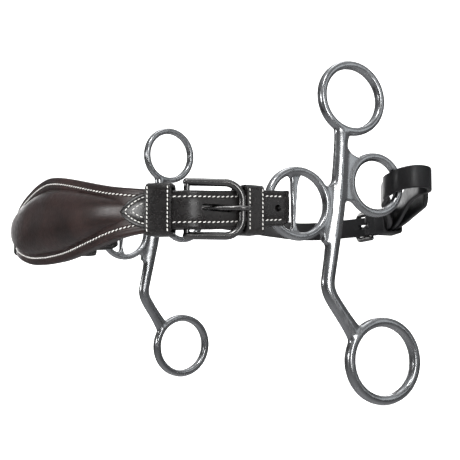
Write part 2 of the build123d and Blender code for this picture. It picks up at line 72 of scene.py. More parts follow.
def at(s):
    """Point and outward normal of the plan curve; beyond the apex it is the mirror image."""
    if s > S_APEX:
        (x, y), (nx, ny) = at(2 * S_APEX - s)
        return (-x, y), (-nx, ny)
    if s <= 0:
        return (-PATH_A, 5.0 + s), (-1.0, 0.0)
    lo, hi = 0, len(SLEN) - 1
    while hi - lo > 1:
        mid = (lo + hi) // 2
        if SLEN[mid] <= s:
            lo = mid
        else:
            hi = mid
    f = (s - SLEN[lo]) / (SLEN[hi] - SLEN[lo])
    p = (PLAN[lo][0] + f * (PLAN[hi][0] - PLAN[lo][0]), PLAN[lo][1] + f * (PLAN[hi][1] - PLAN[lo][1]))
    i0, i1 = max(lo - 24, 0), min(hi + 24, len(PLAN) - 1)
    if s > S_APEX - 2.0:
        tx, ty = 1.0, (S_APEX - s) * 0.004
    else:
        tx, ty = PLAN[i1][0] - PLAN[i0][0], PLAN[i1][1] - PLAN[i0][1]
    L = math.hypot(tx, ty)
    return p, (-ty / L, tx / L)


def lin(table, s):
    if s <= table[0][0]:
        return table[0][1]
    for (a, va), (b, vb) in zip(table, table[1:]):
        if s <= b:
            return va + (vb - va) * (s - a) / (b - a)
    return table[-1][1]


def smooth_table(table, step=1.0, passes=60):
    """Resample a table finely and smooth it, so that its corners don't show in the surface."""
    a, b = table[0][0], table[-1][0]
    n = int((b - a) / step) + 1
    xs = [a + (b - a) * i / (n - 1) for i in range(n)]
    ys = [lin(table, x) for x in xs]
    for _ in range(passes):
        ys = [ys[0]] + [(ys[i - 1] + 2 * ys[i] + ys[i + 1]) / 4 for i in range(1, n - 1)] + [ys[-1]]
    return list(zip(xs, ys))


NOSE_TOP = smooth_table([(60, 2.4), (72, 3.0), (80, 3.9), (92, 5.1), (110, 7.6), (128, 11.0), (140, 13.4), (151, 15.4), (164.5, 17.7), (180, 19.4), (186, 19.6), (192, 19.6)])
NOSE_BOT = smooth_table([(60, -15.6), (72, -16.0), (80, -16.5), (92, -17.3), (102, -18.8), (110, -20.1), (127, -23.5), (149, -26.9), (163, -28.2), (186, -28.8), (192, -28.8)])
PAD_TOP = smooth_table([(92, -3.5), (98, -1.5), (104, 0.2), (110, 1.8), (128, 5.2), (150, 8.8), (170, 11.3), (180, 12.0), (192, 12.2)])
PAD_BOT = smooth_table([(92, -9.5), (98, -10.6), (104, -11.7), (110, -12.8), (127.5, -17.2), (150, -21.0), (170, -22.2), (192, -22.3)])
RISE = smooth_table([(90, 0.0), (98, 0.15), (102, 0.9), (106, 2.2), (114, 4.0), (128, 5.8), (150, 7.2), (168, 7.8), (192, 7.9)])
FLANGE = smooth_table([(60, 2.9), (98, 3.0), (120, 3.9), (150, 5.2), (192, 5.7)])
STRAP_TOP = smooth_table([(-6, 5.2), (11, 5.3), (19, 4.9), (45, 3.1), (65, 2.5), (110, 2.5)], passes=20)
STRAP_BOT = smooth_table([(-6, -11.8), (11, -12.3), (19, -13.0), (45, -15.0), (65, -15.6), (110, -15.6)], passes=20)


def half(s):
    return 2 * S_APEX - s if s > S_APEX else s


def P(s, d, z):
    """Point at distance s along the noseband, depth d inward from the plan curve, height z; mm -> m."""
    (x, y), (nx, ny) = at(s)
    return Vector(((x - nx * d) * MM, (y - ny * d) * MM, z * MM))


def N(s):
    (_, _), (nx, ny) = at(s)
    return Vector((nx, ny, 0.0))


# ------------------------------------------------------------------ mesh helpers
def new_obj(name, verts, faces, mat=None, sharp=40.0, slot=None):
    me = bpy.data.meshes.new(name)
    me.from_pydata([tuple(v) for v in verts], [], faces)
    me.validate()
    me.update()
    me.polygons.foreach_set("use_smooth", [True] * len(me.polygons))
    me.set_sharp_from_angle(angle=math.radians(sharp))
    o = bpy.data.objects.new(name, me)
    bpy.context.scene.collection.objects.link(o)
    if mat:
        me.materials.append(mat)
    return o


def loft(rings, cap=True, closed=False):
    """rings: equal-length closed loops of Vectors. Returns verts, faces."""
    n = len(rings[0])
    verts = [v for r in rings for v in r]
    faces = []
    m = len(rings)
    for i in range(m if closed else m - 1):
        a, b = i * n, ((i + 1) % m) * n
        for j in range(n):
            k = (j + 1) % n
            faces.append((a + j, a + k, b + k, b + j))
    if cap and not closed:
        for base, rev in ((0, True), ((m - 1) * n, False)):
            c = len(verts)
            verts.append(sum((verts[base + j] for j in range(n)), Vector()) / n)
            for j in range(n):
                k = (j + 1) % n
                faces.append((c, base + k, base + j) if rev else (c, base + j, base + k))
    return verts, faces


def fix_normals(o):
    import bmesh
    bm = bmesh.new()
    bm.from_mesh(o.data)
    bmesh.ops.recalc_face_normals(bm, faces=bm.faces)
    bm.to_mesh(o.data)
    bm.free()
    return o


def rrect(a0, a1, b0, b1, r, n=5, dome=0.0, inset=0.0, m=14):
    """Rounded rectangle in (a, b); the a0 side may be domed outward by dome between inset margins. Counter-clockwise."""
    r = min(r, (a1 - a0) / 2 - 1e-4, (b1 - b0) / 2 - 1e-4)
    pts = []

    def arc(ca, cb, t0):
        for i in range(n + 1):
            t = math.radians(t0 + 90 * i / n)
            pts.append((ca + r * math.cos(t), cb + r * math.sin(t)))
    arc(a1 - r, b0 + r, -90)
    arc(a1 - r, b1 - r, 0)
    arc(a0 + r, b1 - r, 90)
    # a0 side from top to bottom
    for i in range(1, m):
        b = b1 - r - (b1 - b0 - 2 * r) * i / m
        t = (b - (b0 + inset)) / max(1e-6, (b1 - b0 - 2 * inset))
        k = 0.0
        if 0 < t < 1:
            k = (1 - abs(2 * t - 1) ** 3.2) ** 0.9
        g = 0.0
        for e in (b0 + inset * 0.82, b1 - inset * 0.82):
            g += 0.22 * math.exp(-((b - e) / 0.45) ** 2) if inset else 0.0
        pts.append((a0 - dome * k + g, b))
    arc(a0 + r, b0 + r, 180)
    return pts


def evaluated(o, name=None):
    """The object's mesh with its modifiers applied."""
    dg = bpy.context.evaluated_depsgraph_get()
    me = bpy.data.meshes.new_from_object(o.evaluated_get(dg))
    if name:
        me.name = name
    o.modifiers.clear()
    old = o.data
    o.data = me
    return o


def mirrored(o, name):
    c = o.copy()
    c.data = o.data.copy()
    c.name = name
    c.data.transform(Matrix.Scale(-1, 4, (1, 0, 0)))
    c.data.flip_normals()
    bpy.context.scene.collection.objects.link(c)
    return c


# ------------------------------------------------------------------ materials
def nodes_of(name):
    m = bpy.data.materials.new(name)
    m.use_nodes = True
    nt = m.node_tree
    nt.nodes.clear()
    out = nt.nodes.new("ShaderNodeOutputMaterial")
    b = nt.nodes.new("ShaderNodeBsdfPrincipled")
    nt.links.new(b.outputs[0], out.inputs[0])
    return m, nt, b


def tex_co(nt, scale=(1, 1, 1)):
    tc = nt.nodes.new("ShaderNodeTexCoord")
    mp = nt.nodes.new("ShaderNodeMapping")
    mp.inputs["Scale"].default_value = scale
    nt.links.new(tc.outputs["Object"], mp.inputs["Vector"])
    return mp.outputs["Vector"]


def noise(nt, vec, scale, detail=4.0, rough=0.55, dist=0.0):
    n = nt.nodes.new("ShaderNodeTexNoise")
    n.inputs["Scale"].default_value = scale
    n.inputs["Detail"].default_value = detail
    n.inputs["Roughness"].default_value = rough
    n.inputs["Distortion"].default_value = dist
    nt.links.new(vec, n.inputs["Vector"])
    return n.outputs["Fac"]


def ramp(nt, fac, stops):
    r = nt.nodes.new("ShaderNodeValToRGB")
    els = r.color_ramp.elements
    while len(els) > 1:
        els.remove(els[-1])
    els[0].position = stops[0][0]
    els[0].color = (*stops[0][1], 1)
    for p, c in stops[1:]:
        e = els.new(p)
        e.color = (*c, 1)
    nt.links.new(fac, r.inputs["Fac"])
    return r.outputs["Color"]


def rng(nt, fac, a, b, lo=0.0, hi=1.0):
    m = nt.nodes.new("ShaderNodeMapRange")
    m.inputs["From Min"].default_value = lo
    m.inputs["From Max"].default_value = hi
    m.inputs["To Min"].default_value = a
    m.inputs["To Max"].default_value = b
    nt.links.new(fac, m.inputs["Value"])
    return m.outputs["Result"]


def math_node(nt, op, a, b):
    m = nt.nodes.new("ShaderNodeMath")
    m.operation = op
    for i, v in enumerate((a, b)):
        if isinstance(v, (int, float)):
            m.inputs[i].default_value = v
        else:
            nt.links.new(v, m.inputs[i])
    return m.outputs[0]


def leather(name, dark, light, rough=0.36, grain=0.10, sheen=0.0, coat=0.25, streak=0.3, edge=None):
    m, nt, b = nodes_of(name)
    v = tex_co(nt)
    cloud = noise(nt, v, 28, 5, 0.6, 0.3)
    fine = noise(nt, v, 380, 3, 0.6)
    vor = nt.nodes.new("ShaderNodeTexVoronoi")
    vor.feature = "DISTANCE_TO_EDGE"
    vor.inputs["Scale"].default_value = 950
    nt.links.new(v, vor.inputs["Vector"])
    vor2 = nt.nodes.new("ShaderNodeTexVoronoi")
    vor2.feature = "DISTANCE_TO_EDGE"
    vor2.inputs["Scale"].default_value = 420
    vor2.inputs["Randomness"].default_value = 1.0
    nt.links.new(v, vor2.inputs["Vector"])
    col = ramp(nt, cloud, [(0.30, dark), (0.55, tuple(0.5 * (a + c) for a, c in zip(dark, light))), (0.75, light)])
    # pores darken a little
    pore = rng(nt, vor2.outputs["Distance"], 0.72, 1.0, 0.0, 0.12)
    mix = nt.nodes.new("ShaderNodeMix")
    mix.data_type = "RGBA"
    mix.blend_type = "MULTIPLY"
    mix.inputs["Factor"].default_value = 1.0
    nt.links.new(col, mix.inputs["A"])
    comb = nt.nodes.new("ShaderNodeCombineColor")
    for i in range(3):
        nt.links.new(pore, comb.inputs[i])
    nt.links.new(comb.outputs[0], mix.inputs["B"])
    nt.links.new(mix.outputs["Result"], b.inputs["Base Color"])
    r0 = rng(nt, cloud, rough - 0.07, rough + 0.10, 0.3, 0.7)
    r1 = rng(nt, fine, -0.05, 0.07, 0.3, 0.7)
    nt.links.new(math_node(nt, "ADD", r0, r1), b.inputs["Roughness"])
    h = math_node(nt, "ADD", rng(nt, vor.outputs["Distance"], 0.0, 0.6, 0.0, 0.25), rng(nt, vor2.outputs["Distance"], 0.0, 1.0, 0.0, 0.2))
    h = math_node(nt, "ADD", h, rng(nt, fine, 0.0, 0.5))
    bp = nt.nodes.new("ShaderNodeBump")
    bp.inputs["Strength"].default_value = grain
    bp.inputs["Distance"].default_value = 0.0002
    nt.links.new(h, bp.inputs["Height"])
    nt.links.new(bp.outputs[0], b.inputs["Normal"])
    b.inputs["Coat Weight"].default_value = coat
    b.inputs["Coat Roughness"].default_value = 0.22
    b.inputs["Specular IOR Level"].default_value = 0.42
    return m


def steel(name, base, rough, scratch=0.05, tint=(1, 1, 1)):
    m, nt, b = nodes_of(name)
    v = tex_co(nt)
    cloud = noise(nt, v, 60, 4, 0.55, 0.2)
    vs = tex_co(nt, (1.0, 1.0, 0.16))
    streak = noise(nt, vs, 900, 2, 0.5)
    fine = noise(nt, v, 1500, 2, 0.5)
    c0 = tuple(base * 0.86 * t for t in tint)
    c1 = tuple(min(1, base * 1.10 * t) for t in tint)
    nt.links.new(ramp(nt, cloud, [(0.3, c0), (0.7, c1)]), b.inputs["Base Color"])
    b.inputs["Metallic"].default_value = 1.0
    r = math_node(nt, "ADD", rng(nt, cloud, rough - 0.03, rough + 0.06, 0.3, 0.7), rng(nt, streak, -0.03, 0.05, 0.3, 0.7))
    nt.links.new(r, b.inputs["Roughness"])
    bp = nt.nodes.new("ShaderNodeBump")
    bp.inputs["Strength"].default_value = scratch
    bp.inputs["Distance"].default_value = 0.00008
    nt.links.new(math_node(nt, "ADD", streak, rng(nt, fine, 0.0, 0.35)), bp.inputs["Height"])
    nt.links.new(bp.outputs[0], b.inputs["Normal"])
    return m


def thread_mat(name, col):
    m, nt, b = nodes_of(name)
    v = tex_co(nt)
    w = nt.nodes.new("ShaderNodeTexWave")
    w.inputs["Scale"].default_value = 1400
    w.inputs["Distortion"].default_value = 1.5
    nt.links.new(v, w.inputs["Vector"])
    cl = noise(nt, v, 300, 3)
    dark = tuple(c * 0.72 for c in col)
    nt.links.new(ramp(nt, cl, [(0.3, dark), (0.65, col)]), b.inputs["Base Color"])
    nt.links.new(rng(nt, w.outputs["Fac"], 0.5, 0.75), b.inputs["Roughness"])
    bp = nt.nodes.new("ShaderNodeBump")
    bp.inputs["Strength"].default_value = 0.5
    bp.inputs["Distance"].default_value = 0.0001
    nt.links.new(w.outputs["Fac"], bp.inputs["Height"])
    nt.links.new(bp.outputs[0], b.inputs["Normal"])
    return m


NOSE = leather("nosepiece_leather", (0.008, 0.0045, 0.004), (0.033, 0.015, 0.0125), rough=0.36, grain=0.10, coat=0.12)
STRAP = leather("strap_leather", (0.0055, 0.005, 0.005), (0.016, 0.0145, 0.014), rough=0.26, grain=0.10, coat=0.12)
CURB = leather("curb_leather", (0.004, 0.004, 0.0045), (0.011, 0.011, 0.012), rough=0.38, grain=0.06, coat=0.0)
LINING = leather("lining_leather", (0.020, 0.017, 0.016), (0.045, 0.038, 0.036), rough=0.55, grain=0.20, coat=0.0)
EDGE = leather("edge_paint", (0.010, 0.009, 0.009), (0.022, 0.020, 0.020), rough=0.34, grain=0.03, coat=0.3)
STEEL = steel("polished_steel", 0.48, 0.22, 0.028, (0.98, 1.0, 1.02))
DARK = steel("buckle_metal", 0.20, 0.22, 0.06, (1.0, 0.985, 0.97))
THREAD = thread_mat("thread", (0.70, 0.69, 0.66))

# ------------------------------------------------------------------ nosepiece
def nose_profile(s):
    h = half(s)
    zt, zb = lin(NOSE_TOP, h), lin(NOSE_BOT, h)
    pt, pb, rise, f = lin(PAD_TOP, h), lin(PAD_BOT, h), lin(RISE, h), lin(FLANGE, h)
    d1 = 7.9
    pts = []
    r = 1.15
    # inner edge corner at the bottom
    for i in range(4):
        t = math.radians(-90 + 30 * i)
        pts.append((d1 - 0.4 + 0.4 * math.cos(t) * -1 * -1, zb + 0.4 + 0.4 * math.sin(t)))
    n_in = 8
    for i in range(1, n_in):
        pts.append((d1, zb + 0.4 + (zt - zb - 0.8) * i / n_in))
    for i in range(4):
        t = math.radians(0 + 30 * i)
        pts.append((d1 - 0.4 + 0.4 * math.cos(t), zt - 0.4 + 0.4 * math.sin(t)))
    # rounded outer edge, top
    for i in range(7):
        t = math.radians(90 + 15 * i)
        pts.append((f + r + r * math.cos(t), zt - r + r * math.sin(t)))
    m = 72
    st_t, st_b = zt - 3.7, zb + 4.0
    for i in range(1, m):
        z = zt - r - (zt - zb - 2 * r) * i / m
        d = f
        # crease line just inside each edge, and the groove under the stitches
        for e, w, g in ((zt - 1.9, 0.28, 0.10), (zb + 1.9, 0.28, 0.10), (st_t, 0.42, 0.30), (st_b, 0.42, 0.30)):
            d += g * math.exp(-((z - e) / w) ** 2)
        t = (z - pb) / (pt - pb)
        if 0 < t < 1:
            u = abs(2 * t - 1)
            k = (1 - u ** 2.5) ** 0.62
            d -= rise * k
        # crease at the foot of the raised centre
        for e in (pt, pb):
            d += 0.34 * min(1.0, rise / 2.0) * math.exp(-((z - e) / 0.7) ** 2)
        pts.append((d, z))
    for i in range(7):
        t = math.radians(180 + 15 * i)
        pts.append((f + r + r * math.cos(t), zb + r + r * math.sin(t)))
    return pts


N0, N1 = 76.0, 2 * S_APEX - 76.0
ST = []
s = N0
while s < N1:
    ST.append(s)
    s += 1.1
ST.append(N1)
nose = new_obj("nosepiece_cover", *loft([[P(s, d, z) for d, z in nose_profile(s)] for s in ST]), mat=NOSE, sharp=50, slot="nosepiece_leather")
fix_normals(nose)
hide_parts("nosepiece_outer", "nosepiece_filler")
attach(nose, "noseband")

lin_rings = []
s = 78.0
LS = []
while s < 2 * S_APEX - 78.0:
    LS.append(s)
    s += 2.0
LS.append(2 * S_APEX - 78.0)
for s in LS:
    h = half(s)
    zt, zb = lin(NOSE_TOP, h), lin(NOSE_BOT, h)
    lin_rings.append([P(s, a, b) for a, b in rrect(8.0, 10.1 if h > 104 else 8.45, zb + 0.25, zt - 0.25, 0.9, n=4, m=10)])
lining = fix_normals(new_obj("nosepiece_lining_leather", *loft(lin_rings), mat=LINING, sharp=50, slot="lining_leather"))
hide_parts("nosepiece_lining")
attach(lining, "noseband")

# ------------------------------------------------------------------ stitches
def capsule(p, along, out, length, rad, seg=8):
    """Verts and faces of one stitch: a short thread lying on the surface, its ends dipping in."""
    along = along.normalized()
    out = out.normalized()
    side = along.cross(out).normalized()
    rings = []
    for i, (u, k, dip) in enumerate(((-0.5, 0.35, -0.55), (-0.40, 0.80, -0.10), (-0.2, 1.0, 0.25), (0.2, 1.0, 0.25), (0.40, 0.80, -0.10), (0.5, 0.35, -0.55))):
        c = p + along * (u * length) + out * (dip * rad)
        rings.append([c + (side * math.cos(2 * math.pi * j / seg) + out * math.sin(2 * math.pi * j / seg)) * (rad * k) for j in range(seg)])
    return loft(rings)


class Stitches:
    def __init__(self):
        self.v, self.f = [], []

    def add(self, p, along, out, length=2.3 * MM, rad=0.40 * MM):
        v, f = capsule(p, along, out, length, rad)
        n = len(self.v)
        self.v += v
        self.f += [tuple(i + n for i in q) for q in f]

    def build(self, name, body):
        o = fix_normals(new_obj(name, self.v, self.f, mat=THREAD, sharp=80, slot="thread"))
        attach(o, body)
        return o


def row_on(st, pts, outs, slant=0.0, length=2.2 * MM, pitch=2.85 * MM, rad=0.40 * MM, jitter=0.04):
    """Stitches along a polyline of points with outward normals."""
    L = [0.0]
    for a, b in zip(pts, pts[1:]):
        L.append(L[-1] + (b - a).length)
    n = int(L[-1] / pitch)
    for i in range(n):
        t = (i + 0.5) * L[-1] / n
        k = max(j for j in range(len(L)) if L[j] <= t)
        k = min(k, len(pts) - 2)
        f = (t - L[k]) / max(1e-9, L[k + 1] - L[k])
        p = pts[k].lerp(pts[k + 1], f)
        along = (pts[k + 1] - pts[k]).normalized()
        out = outs[k].lerp(outs[k + 1], f).normalized()
        a = slant + random.uniform(-jitter, jitter)
        q = Matrix.Rotation(a, 3, out)
        st.add(p, q @ along, out, length, rad)


nose_st = Stitches()
ss = [88.0 + 1.0 * i for i in range(int((2 * S_APEX - 176.0)) + 1)]
for sign in (1, -1):
    pts, outs = [], []
    for s in ss:
        h = half(s)
        z = lin(NOSE_TOP, h) - 3.7 if sign > 0 else lin(NOSE_BOT, h) + 4.0
        pts.append(P(s, lin(FLANGE, h) - 0.02, z))
        outs.append(N(s))
    row_on(nose_st, pts, outs, slant=0.30 if sign > 0 else 0.30, length=1.95 * MM, pitch=2.85 * MM, rad=0.29 * MM)
nose_st.build("nosepiece_stitching", "noseband")

# ------------------------------------------------------------------ billets
STRAP_T, TURN_R = 2.6, 4.9
TURN_Y = 5.9 + TURN_R + STRAP_T / 2
RING_IN_D = STRAP_T / 2 + 2 * TURN_R
TIP_S = 95.8


def frame_ring(px, py, nx, ny, prof):
    return [Vector(((px + nx * a) * MM, (py + ny * a) * MM, b * MM)) for a, b in prof]


def strap_prof(z0, z1, dome=0.36, inset=3.1, t=STRAP_T):
    # a runs inward to outward: reversed so that the domed side is outward (+a)
    return [(-a, b) for a, b in rrect(-t / 2, t / 2, z0, z1, 0.85, n=5, dome=dome, inset=inset, m=30)]


def tip_half(s):
    """Half width factor of the blunt V tip."""
    u = (TIP_S - s) / 17.5
    u = max(0.0, min(1.0, u))
    return min(1.0, (1 - (1 - u) ** 1.75) ** 0.72)


rings = []
sv = TIP_S - 0.02
ts = [TIP_S - 0.02, TIP_S - 0.25, TIP_S - 0.7, TIP_S - 1.3, TIP_S - 2.1, TIP_S - 3.2, TIP_S - 4.5, TIP_S - 6.0, TIP_S - 8.0, TIP_S - 10.0, TIP_S - 12.5, TIP_S - 15.0]
s = TIP_S - 17.5
while s > TURN_Y - 5.0 + 0.6:
    ts.append(s)
    s -= 1.2
ts.append(TURN_Y - 5.0 + 0.05)
for s in ts:
    (x, y), (nx, ny) = at(s)
    t, b = lin(STRAP_TOP, s), lin(STRAP_BOT, s)
    k = tip_half(s) if s > TIP_S - 17.6 else 1.0
    zc, hw = (t + b) / 2, (t - b) / 2 * max(k, 0.05)
    dm = 0.36 * min(1.0, max(0.0, (TIP_S - 3 - s) / 9))
    rings.append(frame_ring(x - nx * STRAP_T / 2, y - ny * STRAP_T / 2, nx, ny, strap_prof(zc - hw, zc + hw, dm, 3.1 if hw > 4 else hw * 0.6)))
cx = -PATH_A + STRAP_T / 2 + TURN_R
for i in range(1, 20):
    r = math.radians(180.0 * i / 20)
    nx, ny = -math.cos(r), -math.sin(r)
    k = math.sin(r)
    z0, z1 = lin(STRAP_BOT, 8) * (1 - k) + -9.3 * k, lin(STRAP_TOP, 8) * (1 - k) + 6.1 * k
    rings.append(frame_ring(cx + nx * TURN_R, TURN_Y + ny * TURN_R, nx, ny, strap_prof(z0, z1, 0.36 * (1 - 0.8 * k), 3.1)))
s = TURN_Y - 5.0
while s < 104.0:
    (x, y), (nx, ny) = at(s)
    d = lin([(0, RING_IN_D), (18, RING_IN_D), (30, 10.6), (46, 9.4), (110, 9.4)], s)
    t, b = lin(STRAP_TOP, s), lin(STRAP_BOT, s)
    rings.append(frame_ring(x - nx * d, y - ny * d, -nx, -ny, strap_prof(b, t, 0.25, 3.1)))
    s += 2.0
billet = fix_normals(new_obj("left_billet_strap", *loft(rings), mat=STRAP, sharp=45, slot="strap_leather"))


def cut(obj, cutter_verts_faces, name):
    c = fix_normals(new_obj(name, *cutter_verts_faces))
    m = obj.modifiers.new("hole", "BOOLEAN")
    m.operation = "DIFFERENCE"
    m.solver = "EXACT"
    m.object = c
    bpy.context.view_layer.update()
    evaluated(obj)
    bpy.data.objects.remove(c)


def hole_cutter(xc, yc, zc, r, x0, x1, stretch=0.0, seg=28):
    rr = []
    for x in (x0, x1):
        ring = []
        for j in range(seg):
            a = 2 * math.pi * j / seg
            yy = r * math.cos(a) + (stretch / 2 if math.cos(a) > 0 else -stretch / 2)
            ring.append(Vector((x * MM, (yc + yy) * MM, (zc + r * math.sin(a)) * MM)))
        rr.append(ring)
    return loft(rr)


cut(billet, hole_cutter(0, 15.5, -3.6, 1.75, -PATH_A - 3, -PATH_A + 3.6), "hole_a")
cut(billet, hole_cutter(0, 49.3, -5.2, 1.75, -PATH_A - 3, -PATH_A + 4.4, stretch=13.6), "hole_b")
billet.data.polygons.foreach_set("use_smooth", [True] * len(billet.data.polygons))
billet.data.set_sharp_from_angle(angle=math.radians(45))
billet_r = mirrored(billet, "right_billet_strap")
for o, n in ((billet, "left_billet"), (billet_r, "right_billet")):
    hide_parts(n)
    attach(o, "noseband")

# rows of stitching on the billets: both edges from the ring to the tip, meeting round the tip
def billet_rows(mirror):
    st = Stitches()

    def q(s, z, lift=0.03):
        p = P(s, -lift, z)
        n = N(s)
        if mirror:
            p, n = Vector((-p.x, p.y, p.z)), Vector((-n.x, n.y, n.z))
        return p, n
    for sgn in (1, -1):
        pts, outs = [], []
        s = 8.0
        while s < 78.0:
            z = lin(STRAP_TOP, s) - 3.0 if sgn > 0 else lin(STRAP_BOT, s) + 3.0
            p, n = q(s, z)
            pts.append(p)
            outs.append(n)
            s += 1.0
        row_on(st, pts, outs, slant=0.30, length=1.6 * MM, pitch=2.4 * MM, rad=0.26 * MM)
    for off in (2.4, 5.0):
        pts, outs = [], []
        path = []
        for i in range(0, 61):
            f = i / 60
            s = 78.5 + (TIP_S - off * 1.05 - 78.5) * math.sin(f * math.pi / 2)
            s2 = min(s + off * 0.75, TIP_S - 0.05)
            hw = 9.0 * tip_half(s2) - off * 0.86
            if hw < 0:
                break
            path.append((s, hw))
        zc = -6.55
        for sgn in (1, -1):
            pts, outs = [], []
            for s, h in path:
                dm = 0.36 * min(1.0, max(0.0, (TIP_S - 3 - s) / 9)) if off > 3 else 0.0
                p, n = q(s, zc + sgn * h, 0.03 + 0.9 * dm)
                if pts and (p - pts[-1]).length < 0.25 * MM:
                    continue
                pts.append(p)
                outs.append(n)
            row_on(st, pts, outs, slant=0.0, length=1.5 * MM, pitch=2.2 * MM, rad=0.25 * MM)
    return st


billet_rows(False).build("left_billet_stitching", "noseband")
billet_rows(True).build("right_billet_stitching", "noseband")


# ------------------------------------------------------------------ keepers
def keeper_mesh(s0, s1, d_out0, d_in, z0, z1, wall, corner=2.6, edge=0.65, seg=8):
    """Band round the strap: walks round a rounded rectangle in (d, z) with a rounded section."""
    c0, c1, e0, e1 = d_out0 - wall / 2, d_in + wall / 2, z0 - wall / 2, z1 + wall / 2
    path = []

    def side(a, b, n):
        for i in range(n):
            f = i / n
            path.append((a[0] + (b[0] - a[0]) * f, a[1] + (b[1] - a[1]) * f))
    loop = rrect(c0, c1, e0, e1, corner, n=seg, m=12)
    # rrect gives points anticlockwise in (d, z)
    pts = loop
    n = len(pts)
    # remove near duplicates
    clean = [pts[0]]
    for p in pts[1:]:
        if math.dist(p, clean[-1]) > 0.05:
            clean.append(p)
    if math.dist(clean[0], clean[-1]) < 0.05:
        clean.pop()
    pts = clean
    n = len(pts)
    # more points on the long sides
    dense = []
    for i in range(n):
        a, b = pts[i], pts[(i + 1) % n]
        k = max(1, int(math.dist(a, b) / 1.5))
        for j in range(k):
            dense.append((a[0] + (b[0] - a[0]) * j / k, a[1] + (b[1] - a[1]) * j / k))
    pts = dense
    n = len(pts)
    rings = []
    prof = rrect(-wall / 2, wall / 2, s0, s1, edge, n=4, m=8)
    for i in range(n):
        a, b = pts[i - 1], pts[(i + 1) % n]
        tx, tz = b[0] - a[0], b[1] - a[1]
        L = math.hypot(tx, tz)
        nd, nz = tz / L, -tx / L
        rings.append([P(s, pts[i][0] + nd * w, pts[i][1] + nz * w) for w, s in prof])
    return loft(rings, cap=False, closed=True)


def keeper_rows(st, s_edges, d_face, z0, z1, mirror, pitch=2.0):
    for s in s_edges:
        pts, outs = [], []
        n = 24
        for i in range(n + 1):
            z = z0 + (z1 - z0) * i / n
            p, nn = P(s, d_face, z), N(s)
            if mirror:
                p, nn = Vector((-p.x, p.y, p.z)), Vector((-nn.x, nn.y, nn.z))
            pts.append(p)
            outs.append(nn)
        row_on(st, pts, outs, slant=0.14, length=1.35 * MM, pitch=pitch * MM, rad=0.25 * MM)


fkp = fix_normals(new_obj("left_front_keeper_band", *keeper_mesh(67.0, 79.6, -0.75, 11.0, -17.0, 4.6, 1.75, corner=2.4), mat=STRAP, sharp=60, slot="strap_leather"))
fkr = mirrored(fkp, "right_front_keeper_band")
rkp = fix_normals(new_obj("left_rear_keeper_band", *keeper_mesh(19.2, 29.2, -0.75, 12.9, -15.3, 5.4, 1.75, corner=2.4), mat=STRAP, sharp=60, slot="strap_leather"))
rkr = mirrored(rkp, "right_rear_keeper_band")
for o, node, body in ((fkp, "left_front_keeper", "noseband"), (fkr, "right_front_keeper", "noseband"), (rkp, "left_rear_keeper", "left_sliding_keeper"), (rkr, "right_rear_keeper", "right_sliding_keeper")):
    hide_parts(node)
    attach(o, body)
for mir, side in ((False, "left"), (True, "right")):
    st = Stitches()
    keeper_rows(st, (68.5, 78.1), -0.75 - 1.75 - 0.02, -17.2, 4.8, mir)
    st.build(side + "_front_keeper_stitching", "noseband")
    st = Stitches()
    keeper_rows(st, (20.6, 27.8), -0.75 - 1.75 - 0.02, -15.2, 5.3, mir)
    st.build(side + "_rear_keeper_stitching", side + "_sliding_keeper")

# ------------------------------------------------------------------ chapes keep their CAD shape
for n in ("left_buckle_chape", "right_buckle_chape"):
    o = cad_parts[n]
    o.data.materials.clear()
    o.data.materials.append(STRAP)

# ------------------------------------------------------------------ buckles: frames and tongues keep their CAD shape
for n in ("left_buckle_frame", "right_buckle_frame", "left_buckle_tongue", "right_buckle_tongue", "curb_buckle_frame", "curb_buckle_tongue"):
    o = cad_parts[n]
    o.data.materials.clear()
    o.data.materials.append(DARK)

# ------------------------------------------------------------------ cheekpieces: cast and polished, every junction blended
GROW, TRIM, SOFTEN = 0.90, 0.86, 34


def casting(node, name):
    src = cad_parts[node]
    me = src.data.copy()
    o = bpy.data.objects.new(name, me)
    bpy.context.scene.collection.objects.link(o)
    w = o.modifiers.new("weld", "WELD")
    w.merge_threshold = 0.00001
    g = o.modifiers.new("grow", "DISPLACE")
    g.strength = GROW * MM
    g.mid_level = 0.0
    r = o.modifiers.new("skin", "REMESH")
    r.mode = "VOXEL"
    r.voxel_size = 0.00045
    r.adaptivity = 0.0
    sm = o.modifiers.new("blend", "SMOOTH")
    sm.factor = 0.5
    sm.iterations = SOFTEN
    tr = o.modifiers.new("trim", "DISPLACE")
    tr.strength = -TRIM * MM
    tr.mid_level = 0.0
    bpy.context.view_layer.update()
    evaluated(o)
    o.data.materials.clear()
    o.data.materials.append(STEEL)
    o.data.polygons.foreach_set("use_smooth", [True] * len(o.data.polygons))
    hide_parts(node)
    return o


lc = casting("left_cheek", "left_cheek_casting")
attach(lc, "left_cheekpiece")
rc = casting("right_cheek", "right_cheek_casting")
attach(rc, "right_cheekpiece")

# ------------------------------------------------------------------ curb strap
LOOP_C, LOOP_R = (-114.0, -68.3), 12.0
CB = (-36.0, -104.0, -1.2)
CURB_T, CURB_H, CB_R = 2.4, 12.0, 1.4


